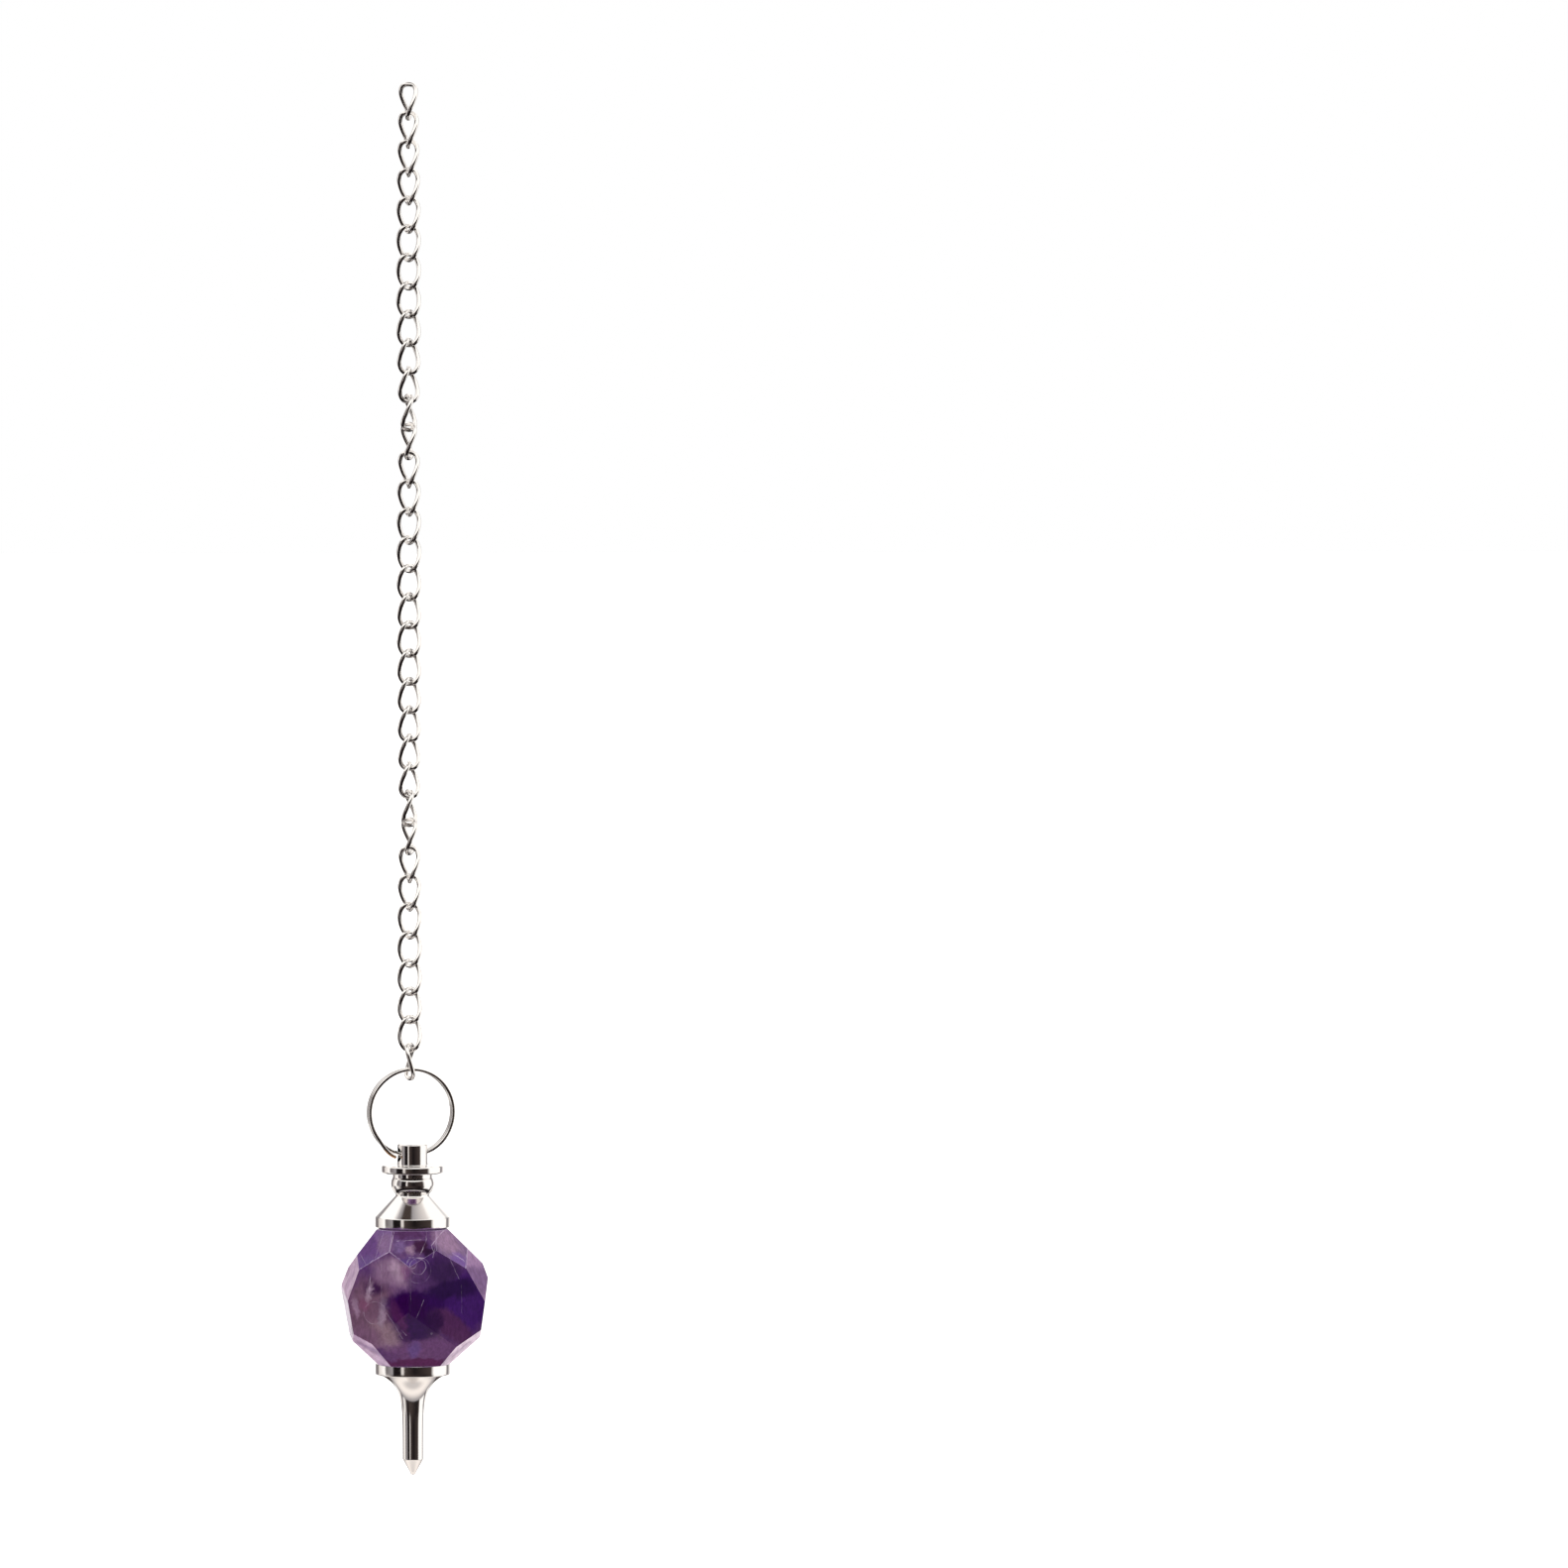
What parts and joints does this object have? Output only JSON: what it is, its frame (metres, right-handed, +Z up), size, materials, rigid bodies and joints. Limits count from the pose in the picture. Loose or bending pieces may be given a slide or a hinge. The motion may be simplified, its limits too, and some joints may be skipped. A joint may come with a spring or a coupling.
{
  "type": "pendulum pendant",
  "caption": "Hand-faceted purple stone between two turned silver-plated caps, with a pointed tip, hanging by a split ring from a chain of twisted links.",
  "frame": {"origin": "where the chain hangs: on the axis, under the top of the first link's loop", "axes": "+Z up along the chain, -Y towards the front that the picture shows, +X to its right"},
  "size_m": [0.0198, 0.0205, 0.1873],
  "materials": {
    "stone": "polished facets of cloudy amethyst with darker zones and fine inner cracks",
    "plate": "polished silver plate over brass"
  },
  "bodies": {
    "chain": {"link_01": "plate", "link_02": "plate", "link_03": "plate", "link_04": "plate", "link_05": "plate", "link_06": "plate", "link_07": "plate", "link_08": "plate", "link_09": "plate", "link_10": "plate", "link_11": "plate", "link_12": "plate", "link_13": "plate", "link_14": "plate", "link_15": "plate", "link_16": "plate", "link_17": "plate", "link_18": "plate", "link_19": "plate", "link_20": "plate", "link_21": "plate", "link_22": "plate", "link_23": "plate", "link_24": "plate", "link_25": "plate", "link_26": "plate", "link_27": "plate", "link_28": "plate", "link_29": "plate", "link_30": "plate", "link_31": "plate", "link_32": "plate", "link_33": "plate", "link_34": "plate", "link_35": "plate"},
    "ring": {"split_ring": "plate"},
    "bob": {"top_cap": "plate", "stone": "stone", "point_cap": "plate"}
  },
  "joints": [
    {"name": "ring_on_chain", "type": "hinge", "parent": "chain", "child": "ring", "pos_m": [0, 0, -0.13192], "axis": [-0.2588, 0.9659, 0], "range_deg": [-30, 30]},
    {"name": "bob_on_ring", "type": "hinge", "parent": "ring", "child": "bob", "pos_m": [0.00035, 0, -0.14336], "axis": [0.9659, 0.2588, 0], "range_deg": [-90, 90]}
  ]
}
